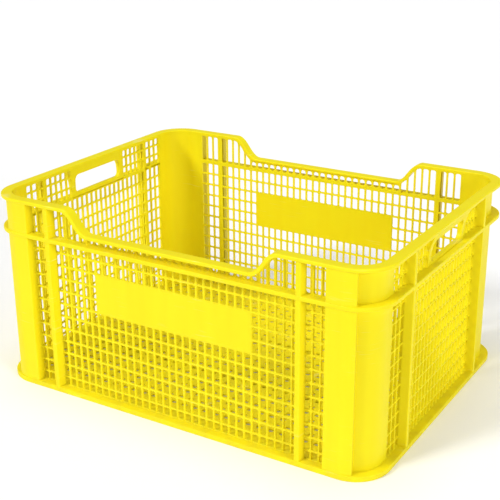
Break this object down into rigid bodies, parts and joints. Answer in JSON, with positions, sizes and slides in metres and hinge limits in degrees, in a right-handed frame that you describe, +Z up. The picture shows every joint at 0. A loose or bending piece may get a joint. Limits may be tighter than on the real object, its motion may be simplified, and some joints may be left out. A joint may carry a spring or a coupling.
{
  "type": "stacking crate",
  "caption": "Open perforated plastic storage crate with rounded corners, a flat outer rim lowered along the long sides, hand holes in both ends and blank label plates.",
  "frame": {"origin": "centre of the crate's outline, on the surface that it stands on", "axes": "+X along the long walls, +Y along the end walls, +Z up through the open top"},
  "size_m": [0.6, 0.45, 0.28],
  "materials": {
    "crate_plastic": "moulded high-density polyethylene, yellow, slightly waxy sheen"
  },
  "bodies": {
    "root": {"back_band": "crate_plastic", "back_dip_panel": "crate_plastic", "back_foot": "crate_plastic", "back_label_plate": "crate_plastic", "back_left_column": "crate_plastic", "back_left_corner": "crate_plastic", "back_left_corner_band": "crate_plastic", "back_left_rib": "crate_plastic", "back_left_shoulder_panel": "crate_plastic", "back_left_side_panel": "crate_plastic", "back_lower_panel": "crate_plastic", "back_right_column": "crate_plastic", "back_right_corner": "crate_plastic", "back_right_corner_band": "crate_plastic", "back_right_rib": "crate_plastic", "back_right_shoulder_panel": "crate_plastic", "back_right_side_panel": "crate_plastic", "back_rim": "crate_plastic", "floor": "crate_plastic", "floor_ribs": "crate_plastic", "front_band": "crate_plastic", "front_dip_panel": "crate_plastic", "front_foot": "crate_plastic", "front_label_plate": "crate_plastic", "front_left_column": "crate_plastic", "front_left_corner": "crate_plastic", "front_left_corner_band": "crate_plastic", "front_left_rib": "crate_plastic", "front_left_shoulder_panel": "crate_plastic", "front_left_side_panel": "crate_plastic", "front_lower_panel": "crate_plastic", "front_right_column": "crate_plastic", "front_right_corner": "crate_plastic", "front_right_corner_band": "crate_plastic", "front_right_rib": "crate_plastic", "front_right_shoulder_panel": "crate_plastic", "front_right_side_panel": "crate_plastic", "front_rim": "crate_plastic", "left_back_rib": "crate_plastic", "left_back_side_panel": "crate_plastic", "left_back_upper_panel": "crate_plastic", "left_band": "crate_plastic", "left_foot": "crate_plastic", "left_front_rib": "crate_plastic", "left_front_side_panel": "crate_plastic", "left_front_upper_panel": "crate_plastic", "left_hand_hole_frame": "crate_plastic", "left_lower_panel": "crate_plastic", "left_rim": "crate_plastic", "right_back_rib": "crate_plastic", "right_back_side_panel": "crate_plastic", "right_back_upper_panel": "crate_plastic", "right_band": "crate_plastic", "right_foot": "crate_plastic", "right_front_rib": "crate_plastic", "right_front_side_panel": "crate_plastic", "right_front_upper_panel": "crate_plastic", "right_hand_hole_frame": "crate_plastic", "right_lower_panel": "crate_plastic", "right_rim": "crate_plastic"}
  },
  "joints": []
}
